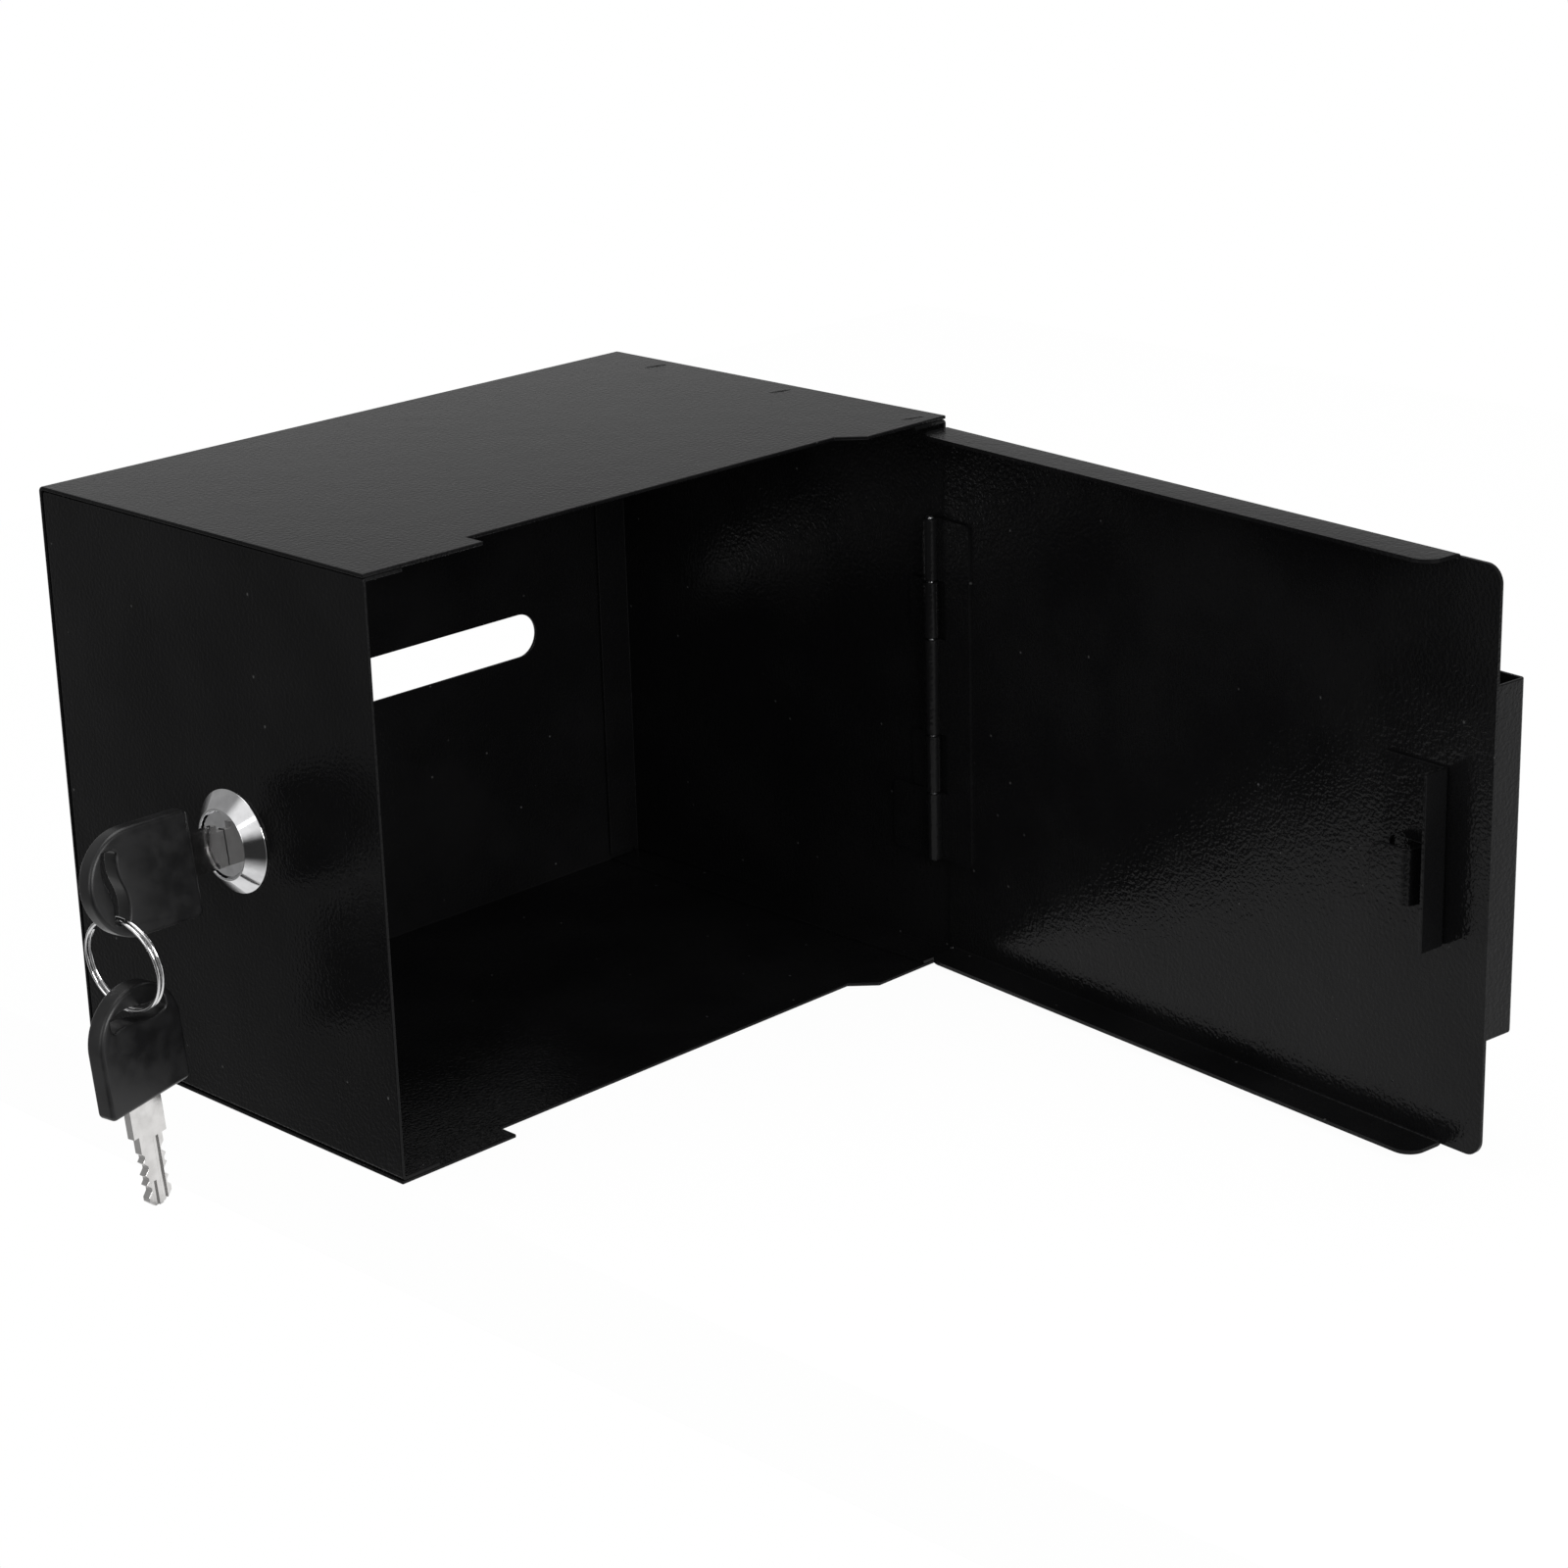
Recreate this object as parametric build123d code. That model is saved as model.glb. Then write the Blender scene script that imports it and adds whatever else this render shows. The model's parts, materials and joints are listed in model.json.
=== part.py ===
from build123d import *
import os
from math import asin, cos, degrees, radians, sin, sqrt

# Suggestion box of folded sheet steel with a hinged door, a card pocket, a cam lock and two keys.
# Millimetres. X runs along the long side from the lock to the hinge, Y from the door to the slotted
# wall, Z up. The origin is the centre of the underside.

# Case
case_width = 200.0
case_depth = 130.0
case_height = 155.0
sheet = 1.0
wrap_bend = 1.5
tray_flange = 12.0
tray_bend = 1.2
tray_relief = 1.8
notch_depth = 6.3
notch_left = -63.0
notch_right = 63.7
notch_slope = 6.3
slot_length = 127.0
slot_height = 12.7
slot_above_base = 78.5

# Hinge: rolled knuckles on a plain pin
pin_radius = 1.1
pin_running = 0.05
pin_overhang = 0.4
leaf_sheet = 0.85
knuckle_gap = 0.3
hinge_bottom = 29.0
knuckle_lengths = (19.5, 16.4, 27.4, 15.9, 17.5)
knuckle_break = 0.3
leaf_round = 2.0
body_leaf_back = 9.0
body_leaf_strip = 0.8
body_leaf_web = 5.2
stop_tab_back = 16.6
door_leaf_reach = 14.0
knuckle_run_out = 2.4

# Door, measured from the pin towards the free edge and from its outer face inwards
door_open = 84.1
door_recess = 0.4
door_hinge_gap = 3.7
door_edge_gap = 0.5
door_flange_low = 2.5
door_flange_high = 2.5
door_flange_width = 11.6
door_flange_start = 5.5
door_flange_stop = 12.7
door_flange_round = 5.0
door_lip_inset = 0.7
door_bend = 1.5
door_corner = 4.5

# Card pocket on the outside of the door
pocket_start = 15.0
pocket_length = 170.0
pocket_depth = 22.0
pocket_bottom = 27.0
pocket_height = 91.0
pocket_bend = 1.5
pocket_flange = 6.0

# Catch bracket on the inside of the door
catch_from_edge = 13.0
catch_base = 19.5
catch_bottom = 55.0
catch_height = 45.0
catch_stand = 8.5
catch_bend = 1.5
strap_bottom = 64.7
strap_height = 14.6
strap_stand = 7.0
strap_from_flange = 4.4
strap_run = 13.1
strap_lean = 1.0
strap_bend = 2.6
strap_corner = 3.5
window_margin = 1.2
window_corner = 1.5

# Cylinder lock
lock_above_base = 75.9
lock_from_back = 72.0
bezel_radius = 13.5
bezel_lip_radius = 9.3
bezel_height = 4.05
bezel_land = 0.5
barrel_radius = 9.5
barrel_flats = 16.0
barrel_length = 25.0
barrel_hole_gap = 0.1
plug_head_radius = 8.3
plug_head_gap = 0.42
plug_head_length = 2.0
plug_head_recess = 0.7
plug_radius = 6.5
plug_running = 0.06
plug_end_gap = 0.1
washer_radius = 12.2
washer_sheet = 0.8
nut_flats = 24.0
nut_height = 3.2
key_tilt = 8.5

# Wafers and their springs in the plug
wafer_count = 5
wafer_sheet = 1.0
wafer_width = 8.4
wafer_fit = 0.05
wafer_first = 4.6
wafer_pitch = 2.8
wafer_tip_gap = 0.15
wafer_lug_width = 1.2
wafer_lug_height = 1.1
wafer_lug_at = 1.5
spring_radius = 0.48
spring_bore = 0.28
spring_length = 3.4

# Cam with its screw
square_boss = 7.0
square_running = 0.05
cam_sheet = 2.0
cam_seat_gap = 0.3
cam_hub_radius = 8.5
cam_arm_half = 3.4
cam_finger_inner = 51.9
cam_finger_outer = 54.7
cam_finger_angle = 17.0
cam_washer_radius = 5.6
cam_washer_sheet = 0.9
cam_screw_radius = 2.0
cam_screw_length = 8.0
cam_screw_head_radius = 3.6
cam_screw_head = 2.2
cam_screw_slot = 0.9

# Keys
key_stop_gap = 0.1
key_sheet = 2.2
blade_width = 7.8
blade_length = 18.5
blade_tip = 2.2
blade_running = 0.2
blade_end_gap = 1.0
cut_depths_low = (1.2, 0.7, 1.5, 1.0)
cut_depths_high = (0.8, 1.4, 0.9, 1.3)
cut_first = 3.6
cut_pitch = 3.1
cut_flat = 0.9
groove_width = 1.6
groove_depth = 0.5
groove_offset = 1.5
short_groove_length = 7.0
shoulder_width = 11.0
shoulder_length = 10.5
shoulder_step = 2.0
tang_length = 12.0
tang_width = 8.0
head_length = 31.3
head_width = 27.5
head_thickness = 5.5
head_drop = 1.4
head_round = 1.2
head_corner = 1.7
ring_slot_length = 18.4
ring_slot_width = 4.2
ring_slot_from_end = 7.4
ring_slot_wave = 0.9
ring_slot_corner = 1.3
ring_slot_round = 0.6

# Split ring
ring_outer_radius = 12.6
ring_wire = 0.9
ring_pitch = 1.35
ring_yaw = 9.0
ring_tilt = 5.0
ring_climb = 60.0
ring_end = 8.0
ring_seat = 0.75
ring_shift = 0.35

# Spare key on the ring
spare_lean = 5.5
spare_seat = 1.5
spare_along_slot = -0.5

half_width = case_width / 2
half_depth = case_depth / 2
knuckle_bore = pin_radius + pin_running
knuckle_radius = knuckle_bore + leaf_sheet
hinge_x = half_width - sheet - knuckle_gap - knuckle_radius
hinge_y = -half_depth + door_recess + sheet + knuckle_radius
door_length = hinge_x + half_width - sheet - door_edge_gap
door_top = case_height - door_flange_high
door_face = -half_depth + door_recess
least_bend = 0.1
close_enough = 1e-4


def block(x0, x1, y0, y1, z0, z1):
    """An upright block between two corners."""
    return Pos(x0, y0, z0) * Box(x1 - x0, y1 - y0, z1 - z0, align=(Align.MIN, Align.MIN, Align.MIN))


def on_door(s0, s1, n0, n1, z0, z1):
    """A block on the shut door: s from the pin to the free edge, n inwards from the outer face."""
    return block(hinge_x - s1, hinge_x - s0, door_face + n0, door_face + n1, z0, z1)


def opened(shape):
    """A door piece, modelled shut, swung open about the pin."""
    return Pos(hinge_x, hinge_y, 0) * Rot(0, 0, door_open) * Pos(-hinge_x, -hinge_y, 0) * shape


def edges_along(shape, axis, **at):
    """The straight edges along an axis whose middle has the given coordinates."""
    found = []
    for edge in shape.edges().filter_by(axis):
        middle = edge @ 0.5
        if all(abs(getattr(middle, name) - value) < close_enough for name, value in at.items()):
            found.append(edge)
    return found


def folded(outer, inner_block, bends, radius, thickness):
    """A shell cut from a block, with its bends rounded outside and in."""
    for axis, at, inside in bends:
        outer = fillet(edges_along(outer, axis, **at), radius)
        inner_block = fillet(edges_along(inner_block, axis, **inside), max(radius - thickness, least_bend))
    return outer - inner_block


def make_case_wrap():
    """One sheet: the top, the slotted wall and the bottom."""
    outer = block(-half_width, half_width, -half_depth, half_depth, 0, case_height)
    hollow = block(-half_width, half_width, -half_depth, half_depth - sheet, sheet, case_height - sheet)
    bends = []
    for z_outer, z_inner in ((0, sheet), (case_height, case_height - sheet)):
        bends.append((Axis.X, {"Y": half_depth, "Z": z_outer}, {"Y": half_depth - sheet, "Z": z_inner}))
    wrap = folded(outer, hollow, bends, wrap_bend, sheet)
    front = -half_depth
    back = front + notch_depth
    notch = Polyline((notch_left, front), (notch_left, back), (notch_right, back),
                     (notch_right + notch_slope, front), close=True)
    wrap -= extrude(make_face(notch), case_height)
    wall = Plane(origin=(0, half_depth, slot_above_base), x_dir=(1, 0, 0), z_dir=(0, 1, 0))
    wrap -= extrude(wall * SlotOverall(slot_length, slot_height), amount=-sheet)
    return wrap


def make_side_panel(side, hole=None):
    """A tray inside the wrap: the end panel with flanges at its top, bottom and back."""
    plate_out = half_width * side
    plate_in = (half_width - sheet) * side
    lip = (half_width - tray_flange) * side
    low, high, back = sheet, case_height - sheet, half_depth - sheet
    outer = block(min(plate_out, lip), max(plate_out, lip), -half_depth, back, low, high)
    hollow = block(min(plate_in, lip), max(plate_in, lip), -half_depth, back - sheet, low + sheet,
                   high - sheet)
    bends = (
        (Axis.Y, {"X": plate_out, "Z": low}, {"X": plate_in, "Z": low + sheet}),
        (Axis.Y, {"X": plate_out, "Z": high}, {"X": plate_in, "Z": high - sheet}),
        (Axis.Z, {"X": plate_out, "Y": back}, {"X": plate_in, "Y": back - sheet}),
    )
    corners = [edge for z in (low, high) for edge in edges_along(outer, Axis.X, Y=back, Z=z)]
    outside = [edge for axis, at, _ in bends for edge in edges_along(outer, axis, **at)]
    outer = fillet(corners + outside, tray_bend)
    inside = [edge for axis, _, at in bends for edge in edges_along(hollow, axis, **at)]
    hollow = fillet(inside, max(tray_bend - sheet, least_bend))
    tray = outer - hollow
    relief_start = (half_width - tray_bend - sheet) * side
    for z in (low, high - tray_relief):
        tray -= block(min(relief_start, lip), max(relief_start, lip), back - tray_relief, back, z, z + tray_relief)
    if hole:
        tray -= hole
    return tray


def knuckle_levels():
    """The bottom and top of each knuckle, from the lowest up."""
    levels = []
    z = hinge_bottom
    for length in knuckle_lengths:
        levels.append((z, z + length))
        z += length + knuckle_gap
    return levels


def knuckle(low, high):
    """One rolled knuckle on the pin's axis, its ends lightly broken."""
    roll = Pos(hinge_x, hinge_y, low) * extrude(Circle(knuckle_radius), high - low)
    roll = chamfer(roll.edges().filter_by(GeomType.CIRCLE), knuckle_break)
    return roll


def bored(leaf):
    """A leaf with the pin's bore through its knuckles."""
    levels = knuckle_levels()
    low, high = levels[0][0], levels[-1][1]
    return leaf - Pos(hinge_x, hinge_y, low) * extrude(Circle(knuckle_bore), high - low)


def make_body_leaf():
    """Fixed leaf: tabs from the even knuckles joined by a strip, with a longer stop tab below."""
    face = half_width - sheet
    levels = knuckle_levels()
    leaf = None
    for low, high in levels[1::2]:
        joggle = Polyline((hinge_x + knuckle_radius, hinge_y), (face, hinge_y + knuckle_radius),
                          (face, hinge_y + body_leaf_back), (face - leaf_sheet, hinge_y + body_leaf_back),
                          (face - leaf_sheet, hinge_y + knuckle_radius), (hinge_x + knuckle_bore, hinge_y), close=True)
        tab = Pos(0, 0, low) * extrude(make_face(joggle), high - low)
        tab = fillet(edges_along(tab, Axis.X, Y=hinge_y + body_leaf_back), leaf_round)
        leaf = tab + knuckle(low, high) if leaf is None else leaf + tab + knuckle(low, high)
    strip_start = hinge_y + knuckle_radius + body_leaf_strip
    leaf += block(face - leaf_sheet, face, strip_start, hinge_y + body_leaf_web, levels[0][0], levels[3][1])
    stop = block(face - leaf_sheet, face, strip_start, hinge_y + stop_tab_back, levels[0][0], levels[0][1])
    leaf += fillet(edges_along(stop, Axis.X, Y=hinge_y + stop_tab_back), leaf_round)
    return bored(leaf)


def make_door_leaf():
    """Swinging leaf, shut: the odd knuckles and one plate on the inner face of the door."""
    levels = knuckle_levels()
    low, high = levels[0][0], levels[-1][1]
    plate = on_door(0, door_leaf_reach, sheet, sheet + leaf_sheet, low, high)
    plate = fillet(edges_along(plate, Axis.Y, X=hinge_x - door_leaf_reach), leaf_round)
    for start, stop in levels[1::2]:
        start -= knuckle_gap
        stop += knuckle_gap
        plate -= on_door(-knuckle_radius, knuckle_radius + knuckle_run_out, 0, 2 * knuckle_radius, start, stop)
    for start, stop in levels[0::2]:
        plate += knuckle(start, stop)
    return bored(plate)


def make_hinge_pin():
    """Plain pin, a little longer than the knuckles."""
    levels = knuckle_levels()
    low, high = levels[0][0] - pin_overhang, levels[-1][1] + pin_overhang
    pin = Pos(hinge_x, hinge_y, low) * extrude(Circle(pin_radius), high - low)
    return chamfer(pin.edges().filter_by(GeomType.CIRCLE), knuckle_break)


def make_door_panel():
    """The door, shut: a plate with a flange folded in along its top and bottom."""
    start = door_flange_start
    stop = door_length - door_flange_stop
    low, high = door_flange_low, door_top
    outer = on_door(start, stop, 0, door_flange_width, low, high)
    hollow = on_door(start, stop, sheet, door_flange_width, low + sheet, high - sheet)
    bends = []
    for z_outer, z_inner in ((low, low + sheet), (high, high - sheet)):
        bends.append((Axis.X, {"Y": door_face, "Z": z_outer}, {"Y": door_face + sheet, "Z": z_inner}))
    door = folded(outer, hollow, bends, door_bend, sheet)
    door = fillet(edges_along(door, Axis.Z, Y=door_face + door_flange_width), door_flange_round)
    lip_low, lip_high = low + door_lip_inset, high - door_lip_inset
    near = on_door(door_hinge_gap, start, 0, sheet, lip_low, lip_high)
    far = on_door(stop, door_length, 0, sheet, lip_low, lip_high)
    far = fillet(edges_along(far, Axis.Y, X=hinge_x - door_length), door_corner)
    return door + near + far


def make_card_pocket():
    """Pocket on the outer face of the shut door: front, two sides, a floor and flanges, open above."""
    start, stop = pocket_start, pocket_start + pocket_length
    low, high = pocket_bottom, pocket_bottom + pocket_height
    front = door_face - pocket_depth
    outer = on_door(start, stop, -pocket_depth, 0, low, high)
    hollow = on_door(start + sheet, stop - sheet, sheet - pocket_depth, 0, low + sheet, high)
    bends = [(Axis.X, {"Y": front, "Z": low}, {"Y": front + sheet, "Z": low + sheet})]
    for s_outer, s_inner in ((start, start + sheet), (stop, stop - sheet)):
        bends.append((Axis.Z, {"Y": front, "X": hinge_x - s_outer},
                      {"Y": front + sheet, "X": hinge_x - s_inner}))
    outside = [edge for axis, at, _ in bends for edge in edges_along(outer, axis, **at)]
    inside = [edge for axis, _, at in bends for edge in edges_along(hollow, axis, **at)]
    pocket = fillet(outside, pocket_bend) - fillet(inside, max(pocket_bend - sheet, least_bend))
    for s0, s1 in ((start - pocket_flange, start + sheet), (stop - sheet, stop + pocket_flange)):
        pocket += on_door(s0, s1, -sheet, 0, low, high)
    pocket += on_door(start + pocket_flange, stop - pocket_flange, -sheet, 0, low - pocket_flange, low + sheet)
    return pocket


def make_catch_bracket():
    """Angle on the inner face of the shut door, with the arched strap that the cam hooks under."""
    stop = door_length - catch_from_edge
    start = stop - catch_base
    low, high = catch_bottom, catch_bottom + catch_height
    inner_face = door_face + sheet
    outer = on_door(start, stop, sheet, sheet + catch_stand, low, high)
    hollow = on_door(start, stop - sheet, 2 * sheet, sheet + catch_stand, low, high)
    bend = (Axis.Z, {"X": hinge_x - stop, "Y": inner_face},
            {"X": hinge_x - stop + sheet, "Y": inner_face + sheet})
    bracket = folded(outer, hollow, [bend], catch_bend, sheet)
    foot = stop - sheet - strap_from_flange
    shoulder = foot - strap_lean
    tip = foot - strap_run
    top = sheet + strap_stand
    strap_high = strap_bottom + strap_height
    outline = make_face(Polyline(
        *[(hinge_x - s, door_face + n) for s, n in (
            (foot, 2 * sheet), (shoulder, top), (tip, top), (tip, top - sheet), (shoulder - sheet, top - sheet),
            (foot - sheet, 2 * sheet))], close=True))
    strap = Pos(0, 0, strap_bottom) * extrude(outline, strap_height)
    crown = inner_face - sheet + top
    strap = fillet(edges_along(strap, Axis.Z, X=hinge_x - shoulder + sheet, Y=crown - sheet), strap_bend - sheet)
    strap = fillet(edges_along(strap, Axis.Z, X=hinge_x - shoulder, Y=crown), strap_bend)
    strap = fillet(edges_along(strap, Axis.Y, X=hinge_x - tip), strap_corner)
    window = on_door(tip + window_margin, foot - sheet, sheet, 2 * sheet, strap_bottom, strap_high)
    window = fillet(edges_along(window, Axis.Y, X=hinge_x - tip - window_margin), window_corner)
    return bracket - window + strap


lock_y = half_depth - lock_from_back
lock_place = Pos(-half_width, lock_y, lock_above_base)
core_place = lock_place * Rot(-key_tilt, 0, 0)
plug_face = -bezel_height + plug_head_recess
barrel_end = sheet + barrel_length


def turned(radius, start, stop):
    """A round bar on the lock's axis, from start to stop inwards of the panel's outer face."""
    return Pos(start, 0, 0) * Rot(0, 90, 0) * extrude(Circle(radius), stop - start)


def double_d(radius, flats, start, stop):
    """A round bar with two upright flats."""
    bar = turned(radius, start, stop)
    return bar & block(start, stop, -flats / 2, flats / 2, -radius, radius)


def make_lock_hole():
    """The cut in the panel that the barrel passes, with flats that stop it turning."""
    return lock_place * double_d(barrel_radius + barrel_hole_gap, barrel_flats + 2 * barrel_hole_gap, 0, sheet)


def make_lock_body():
    """Coned bezel and flatted barrel, bored for the plug."""
    profile = Polyline((0, 0), (0, bezel_radius), (-bezel_land, bezel_radius), (-bezel_height, bezel_lip_radius),
                       (-bezel_height, 0), close=True)
    bezel = revolve(make_face(profile), Axis.X, 360)
    body = bezel + double_d(barrel_radius, barrel_flats, 0, barrel_end)
    head_seat = plug_face + plug_head_length + plug_end_gap
    body -= turned(plug_head_radius + plug_head_gap, -bezel_height, head_seat)
    body -= turned(plug_radius + plug_running, -bezel_height, barrel_end)
    return lock_place * body


def make_lock_washer():
    """Spring washer between the panel and the nut."""
    ring = turned(washer_radius, sheet, sheet + washer_sheet)
    return lock_place * (ring - turned(barrel_radius + barrel_hole_gap, sheet, sheet + washer_sheet))


def make_lock_nut():
    """Hexagon nut that clamps the barrel."""
    start = sheet + washer_sheet
    hexagon = RegularPolygon(nut_flats / 2, 6, major_radius=False)
    blank = Pos(start, 0, 0) * Rot(0, 90, 0) * extrude(hexagon, nut_height)
    bevel = turned(nut_flats / 2 / cos(radians(30)), start, start + nut_height)
    bevel = chamfer(bevel.edges().filter_by(GeomType.CIRCLE).sort_by(Axis.X)[-1], sheet)
    nut = blank & bevel
    return lock_place * (nut - turned(barrel_radius + barrel_hole_gap, start, start + nut_height))


def wafer_stations():
    """Where each wafer starts behind the plug's face."""
    return [plug_face + wafer_first + number * wafer_pitch for number in range(wafer_count)]


keyway_width = key_sheet + 2 * blade_running
keyway_height = blade_width + 2 * blade_running
cam_start = barrel_end + cam_seat_gap
cam_stop = cam_start + cam_sheet
lug_side = wafer_width / 2
spring_top = wafer_lug_at
spring_bottom = spring_top - spring_length


def keyway(start, stop):
    """The slot that the blade slides in."""
    return block(start, stop, -keyway_width / 2, keyway_width / 2, -keyway_height / 2, keyway_height / 2)


def make_lock_plug():
    """The turning plug: head, cross slots for the wafers, and a square boss for the cam."""
    plug = turned(plug_head_radius, plug_face, plug_face + plug_head_length)
    plug += turned(plug_radius, plug_face + plug_head_length, cam_start - square_running)
    plug += block(cam_start - square_running, cam_stop, -square_boss / 2, square_boss / 2, -square_boss / 2,
                  square_boss / 2)
    plug -= keyway(plug_face, plug_face + blade_length + blade_end_gap)
    gap = wafer_sheet / 2 + wafer_fit
    pocket_side = lug_side + wafer_lug_width + wafer_fit
    for station in wafer_stations():
        middle = station + wafer_sheet / 2
        plug -= block(middle - gap, middle + gap, -lug_side - wafer_fit, lug_side + wafer_fit, -plug_radius,
                      plug_radius)
        plug -= block(middle - gap, middle + gap, lug_side, pocket_side, spring_bottom - wafer_fit,
                      wafer_lug_at + wafer_lug_height + wafer_fit)
    plug -= turned(cam_screw_radius, cam_stop - cam_screw_length + cam_screw_head, cam_stop)
    return core_place * plug


def make_plug_wafers():
    """Thin plates with a window for the blade and a lug for the spring."""
    wafers = []
    for station in wafer_stations():
        plate = block(station, station + wafer_sheet, -wafer_width / 2, wafer_width / 2, -plug_radius, plug_radius)
        plate &= turned(plug_radius - wafer_tip_gap, station, station + wafer_sheet)
        plate += block(station, station + wafer_sheet, lug_side, lug_side + wafer_lug_width, wafer_lug_at,
                       wafer_lug_at + wafer_lug_height)
        plate -= keyway(station, station + wafer_sheet)
        wafers.append(core_place * plate)
    return Compound(children=wafers)


def make_wafer_springs():
    """Small sleeves that stand for the wafer springs inside the plug."""
    springs = []
    for station in wafer_stations():
        place = Pos(station + wafer_sheet / 2, lug_side + wafer_lug_width / 2, spring_bottom)
        sleeve = Circle(spring_radius) - Circle(spring_bore)
        springs.append(core_place * place * extrude(sleeve, spring_length))
    return Compound(children=springs)


def make_lock_cam():
    """Cam: a hub on the square boss, a tapering arm and a finger that hooks ahead of it."""
    reach = (cam_finger_inner + cam_finger_outer) / 2
    half_finger = (cam_finger_outer - cam_finger_inner) / 2
    hub_angle = asin((cam_hub_radius - cam_arm_half) / reach)
    hub_y, hub_z = cam_hub_radius * cos(hub_angle), cam_hub_radius * sin(hub_angle)
    arm_top = sqrt(cam_finger_outer ** 2 - cam_arm_half ** 2)
    arm = make_face(
        Polyline((-hub_y, hub_z), (-cam_arm_half, arm_top)) + ThreePointArc(
            (-cam_arm_half, arm_top), (0, cam_finger_outer), (cam_arm_half, arm_top))
        + Polyline((cam_arm_half, arm_top), (hub_y, hub_z), (-hub_y, hub_z)))
    stop = cam_finger_angle
    lead = degrees(asin(cam_arm_half / cam_finger_outer)) / 2

    def at(radius, angle):
        return (-radius * sin(radians(angle)), radius * cos(radians(angle)))

    tip_out, tip_in = at(cam_finger_outer, stop), at(cam_finger_inner, stop)
    tip_end = at(reach, stop + degrees(half_finger / reach))
    finger = make_face(
        ThreePointArc(at(cam_finger_outer, lead), at(cam_finger_outer, (lead + stop) / 2), tip_out)
        + ThreePointArc(tip_out, tip_end, tip_in)
        + ThreePointArc(tip_in, at(cam_finger_inner, (lead + stop) / 2), at(cam_finger_inner, lead))
        + Line(at(cam_finger_inner, lead), at(cam_finger_outer, lead)))
    outline = Circle(cam_hub_radius) + arm + finger
    outline -= Rectangle(square_boss + 2 * square_running, square_boss + 2 * square_running)
    face = Plane(origin=(cam_start, 0, 0), x_dir=(0, 1, 0), z_dir=(1, 0, 0))
    return core_place * extrude(face * outline, cam_sheet)


def make_cam_washer():
    """Washer over the cam."""
    ring = turned(cam_washer_radius, cam_stop, cam_stop + cam_washer_sheet)
    return core_place * (ring - turned(cam_screw_radius + square_running, cam_stop, cam_stop + cam_washer_sheet))


def make_cam_screw():
    """Slotted screw that holds the cam on the plug."""
    seat = cam_stop + cam_washer_sheet
    top = seat + cam_screw_head
    head = turned(cam_screw_head_radius, seat, top)
    head = fillet(head.edges().filter_by(GeomType.CIRCLE).sort_by(Axis.X)[-1], cam_screw_head / 3)
    head -= block(top - cam_screw_slot, top, -cam_screw_slot / 2, cam_screw_slot / 2, -cam_screw_head_radius,
                  cam_screw_head_radius)
    shank = turned(cam_screw_radius, top - cam_screw_length, seat)
    return core_place * (head + shank)


def make_key_blade():
    """Key metal, pointing along +X from the stop at the plug's face, with cuts in both edges."""
    half = blade_width / 2
    metal = block(0, blade_length, -key_sheet / 2, key_sheet / 2, -half, half)
    tip = [edge for side in (-half, half) for edge in edges_along(metal, Axis.Y, X=blade_length, Z=side)]
    metal = chamfer(tip, blade_tip)
    for side, depths in ((-1, cut_depths_low), (1, cut_depths_high)):
        for number, depth in enumerate(depths):
            x = cut_first + number * cut_pitch
            edge, floor = side * half, side * (half - depth)
            cut = make_face(Polyline((x - depth, edge), (x, floor), (x + cut_flat, floor),
                                     (x + cut_flat + depth, edge), close=True))
            metal -= Pos(0, key_sheet / 2, 0) * Rot(90, 0, 0) * extrude(cut, key_sheet)
    for side, start in ((-1, -shoulder_length), (1, blade_length - short_groove_length)):
        z = groove_offset * side
        for y in (-key_sheet / 2, key_sheet / 2 - groove_depth):
            metal -= block(max(start, 0), blade_length, y, y + groove_depth, z - groove_width / 2,
                           z + groove_width / 2)
    shoulder = block(-shoulder_length, 0, -key_sheet / 2, key_sheet / 2, -shoulder_width / 2, shoulder_width / 2)
    shoulder -= block(-shoulder_step, 0, -key_sheet / 2, key_sheet / 2, blade_width / 2, shoulder_width / 2)
    tang = block(-shoulder_length - tang_length, -shoulder_length, -key_sheet / 2, key_sheet / 2,
                 -tang_width / 2, tang_width / 2)
    return metal + shoulder + tang


def make_ring_slot():
    """The wavy slot across the key head, with its centre at the origin of its own plane."""
    half, side, wave = ring_slot_length / 2, ring_slot_width / 2, ring_slot_wave
    quarter = half / 2
    right = ThreePointArc((side, -half), (side + wave, -quarter), (side, 0)) + ThreePointArc(
        (side, 0), (side - wave, quarter), (side, half))
    left = ThreePointArc((-side, half), (-side - wave, quarter), (-side, 0)) + ThreePointArc(
        (-side, 0), (wave - side, -quarter), (-side, -half))
    outline = make_face(right + Line((side, half), (-side, half)) + left + Line((-side, -half), (side, -half)))
    ends = [vertex for vertex in outline.vertices() if abs(vertex.Y) > quarter]
    return fillet(ends, ring_slot_corner)


slot_x = -shoulder_length - head_length + ring_slot_from_end
slot_low = -head_drop - ring_slot_length / 2
head_centre = -shoulder_length - head_length + head_width / 2
slot_from_centre = head_centre - slot_x
web_edge = -head_drop - sqrt((head_width / 2) ** 2 - slot_from_centre ** 2)


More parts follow.
